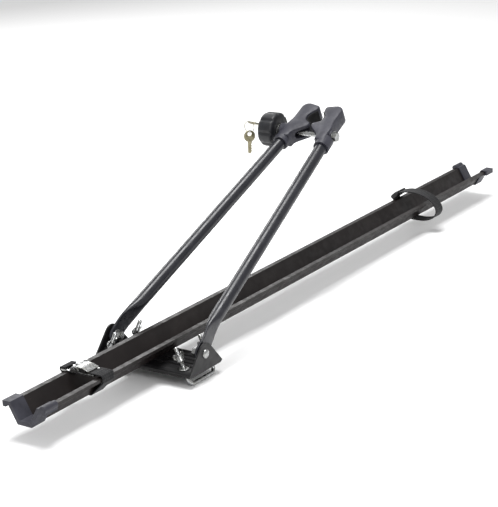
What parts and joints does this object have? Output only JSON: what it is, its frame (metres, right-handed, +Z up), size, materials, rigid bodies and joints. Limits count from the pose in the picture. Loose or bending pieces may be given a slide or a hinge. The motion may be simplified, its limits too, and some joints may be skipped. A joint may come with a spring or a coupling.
{
  "type": "upright roof bicycle carrier",
  "caption": "Upright bicycle carrier for a car roof bar: wheel tray, folding A-frame arms with locking frame clamp, wheel straps.",
  "frame": {"origin": "middle of the rubber pad's underside, where the base sits on a roof bar", "axes": "+X along the wheel tray to its far end, +Y to the knob's side, +Z up"},
  "size_m": [1.3024, 0.2065, 0.2848],
  "materials": {
    "tray_paint": "satin black-brown powder coat",
    "bracket_paint": "satin black powder coat",
    "arm_paint": "satin blue-black powder coat",
    "slate_plastic": "moulded, fine texture",
    "knob_plastic": "moulded, fine texture",
    "bush_plastic": "plain moulded",
    "slider_plastic": "plain moulded",
    "rubber": "matt",
    "zinc": "bright zinc plate",
    "key_brass": "worn nickel over brass",
    "webbing": "flat woven webbing"
  },
  "bodies": {
    "carrier_base": {"wheel_tray": "tray_paint", "near_end_cap": "slate_plastic", "far_end_cap": "slate_plastic", "base_bracket": "bracket_paint", "bar_pad": "rubber", "rear_tray_bolt": "zinc", "front_tray_bolt": "zinc", "rear_tray_nut": "zinc", "front_tray_nut": "zinc", "near_pivot_bolt": "zinc", "far_pivot_bolt": "zinc", "near_pivot_bush": "bush_plastic", "far_pivot_bush": "bush_plastic", "near_pivot_washer": "zinc", "far_pivot_washer": "zinc", "near_pivot_nut": "zinc", "far_pivot_nut": "zinc", "near_rear_washer": "zinc", "near_front_washer": "zinc", "far_rear_washer": "zinc", "far_front_washer": "zinc", "near_strap": "webbing", "buckle_frame": "zinc", "buckle_pin": "zinc", "far_strap": "webbing", "far_strap_slider": "slider_plastic"},
    "near_u_bolt": {"near_u_bolt": "zinc"},
    "far_u_bolt": {"far_u_bolt": "zinc"},
    "near_rear_wing_nut": {"near_rear_wing_nut": "zinc"},
    "near_front_wing_nut": {"near_front_wing_nut": "zinc"},
    "far_rear_wing_nut": {"far_rear_wing_nut": "zinc"},
    "far_front_wing_nut": {"far_front_wing_nut": "zinc"},
    "arm_frame": {"near_arm": "arm_paint", "near_jaw": "slate_plastic", "near_jaw_pad": "rubber", "clamp_bolt": "zinc", "clamp_washer": "zinc"},
    "far_arm": {"far_arm": "arm_paint", "far_jaw": "slate_plastic", "far_jaw_pad": "rubber"},
    "knob_washer": {"knob_washer": "zinc"},
    "knob": {"clamp_knob": "knob_plastic", "knob_sleeve_nut": "zinc"},
    "lock": {"lock_barrel": "zinc", "lock_key": "key_brass"},
    "keys": {"key_ring": "key_brass", "spare_key": "key_brass"},
    "buckle_lever": {"buckle_lever": "zinc"}
  },
  "joints": [
    {"name": "frame_fold", "type": "hinge", "parent": "carrier_base", "child": "arm_frame", "pos_m": [0, 0, 0.026], "axis": [0, 1, 0], "range_deg": [-60, 19]},
    {"name": "knob_turn", "type": "hinge", "parent": "knob_washer", "child": "knob", "pos_m": [0.42, 0.0544, 0.2345], "axis": [0, 1, 0], "range_deg": [0, 8640]},
    {"name": "knob_travel", "type": "slide", "parent": "arm_frame", "child": "knob_washer", "axis": [0, 1, 0], "range_m": [0, 0.0301]},
    {"name": "far_arm_spread", "type": "hinge", "parent": "arm_frame", "child": "far_arm", "pos_m": [0, 0.0737, 0.026], "axis": [-0.4447, 0, 0.8957], "range_deg": [0, 3.71]},
    {"name": "key_turn", "type": "hinge", "parent": "knob", "child": "lock", "pos_m": [0.42, 0.0844, 0.2405], "axis": [0, 1, 0], "range_deg": [0, 90]},
    {"name": "spare_key_swing", "type": "hinge", "parent": "lock", "child": "keys", "pos_m": [0.42, 0.1114, 0.2405], "axis": [1, 0, 0], "range_deg": [-3, 50]},
    {"name": "buckle_open", "type": "hinge", "parent": "carrier_base", "child": "buckle_lever", "pos_m": [-0.155, 0.013, 0.0443], "axis": [-1, 0, 0], "range_deg": [0, 75], "stiffness_Nm_per_rad": 0.05, "springref_deg": -28.65},
    {"name": "near_u_bolt_slide", "type": "slide", "parent": "carrier_base", "child": "near_u_bolt", "axis": [0, 0.4226, 0.9063], "range_m": [-0.007, 0.0085]},
    {"name": "far_u_bolt_slide", "type": "slide", "parent": "carrier_base", "child": "far_u_bolt", "axis": [0, -0.4226, 0.9063], "range_m": [-0.007, 0.0045]},
    {"name": "near_rear_wing_nut_turn", "type": "hinge", "parent": "near_u_bolt", "child": "near_rear_wing_nut", "pos_m": [-0.029, -0.06043, 0.02108], "axis": [0, -0.4226, -0.9063], "range_deg": [0, 2520]},
    {"name": "near_front_wing_nut_turn", "type": "hinge", "parent": "near_u_bolt", "child": "near_front_wing_nut", "pos_m": [0.029, -0.06043, 0.02108], "axis": [0, -0.4226, -0.9063], "range_deg": [0, 2520]},
    {"name": "far_rear_wing_nut_turn", "type": "hinge", "parent": "far_u_bolt", "child": "far_rear_wing_nut", "pos_m": [-0.029, 0.06043, 0.02108], "axis": [0, 0.4226, -0.9063], "range_deg": [0, 2520]},
    {"name": "far_front_wing_nut_turn", "type": "hinge", "parent": "far_u_bolt", "child": "far_front_wing_nut", "pos_m": [0.029, 0.06043, 0.02108], "axis": [0, 0.4226, -0.9063], "range_deg": [0, 2520]}
  ],
  "couplings": [
    {"joint": "knob_travel", "follows": "knob_turn", "m_per_rad": 0.00019894},
    {"joint": "far_arm_spread", "follows": "knob_turn", "ratio": 0.00042427}
  ]
}
